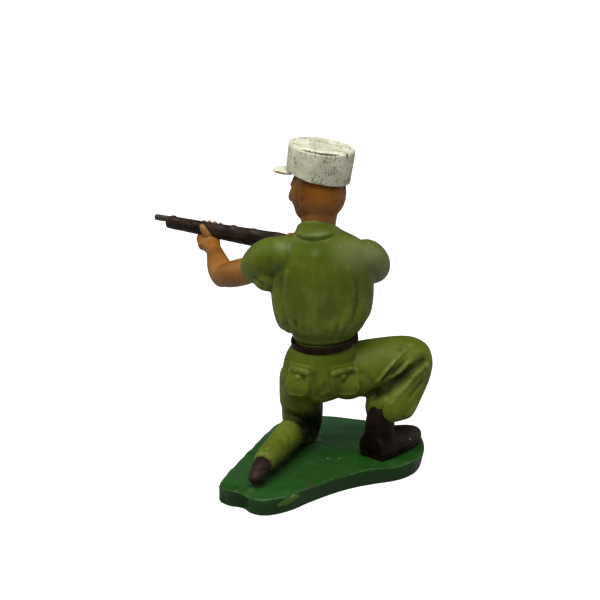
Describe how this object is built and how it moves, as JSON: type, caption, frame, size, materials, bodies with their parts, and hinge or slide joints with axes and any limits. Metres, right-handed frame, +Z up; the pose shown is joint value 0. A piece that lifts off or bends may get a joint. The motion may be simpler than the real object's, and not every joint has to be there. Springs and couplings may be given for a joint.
{
  "type": "kneeling rifleman figurine",
  "caption": "Small painted figurine of a kneeling rifleman in a white peaked cap and green field dress, aiming a rifle, on an irregular green ground plate.",
  "frame": {"origin": "on the flat underside of the ground plate, below the hips", "axes": "+Z up, +Y the way the chest faces, +X toward the figure's right hand side"},
  "size_m": [0.0438, 0.0424, 0.0496],
  "materials": {
    "ground_green": "glossy dark green enamel, chipped at the edge",
    "boot_brown": "satin dark brown enamel, rubbed at the toe",
    "trouser_green": "satin field green enamel",
    "belt_brown": "satin brown enamel",
    "buckle_ochre": "dull ochre enamel",
    "shirt_green": "satin green enamel",
    "skin": "satin tan enamel",
    "kepi_white": "off-white paint, crazed and soiled",
    "rifle_brown": "dark brown paint",
    "rifle_black": "brown-black paint"
  },
  "bodies": {
    "root": {"base_plate": "ground_green", "right_boot": "boot_brown", "left_boot": "boot_brown", "right_trouser_leg": "trouser_green", "left_trouser_leg": "trouser_green", "trouser_seat": "trouser_green", "belt": "belt_brown", "belt_buckle": "buckle_ochre", "shirt_body": "shirt_green", "shirt_collar": "shirt_green", "left_sleeve": "shirt_green", "right_sleeve": "shirt_green", "left_arm": "skin", "right_arm": "skin", "left_hand": "skin", "right_hand": "skin", "head": "skin", "kepi_crown": "kepi_white", "kepi_visor": "kepi_white", "rifle_stock": "rifle_brown", "rifle_barrel": "rifle_black", "rifle_bolt": "rifle_black", "rifle_magazine": "rifle_black"}
  },
  "joints": []
}
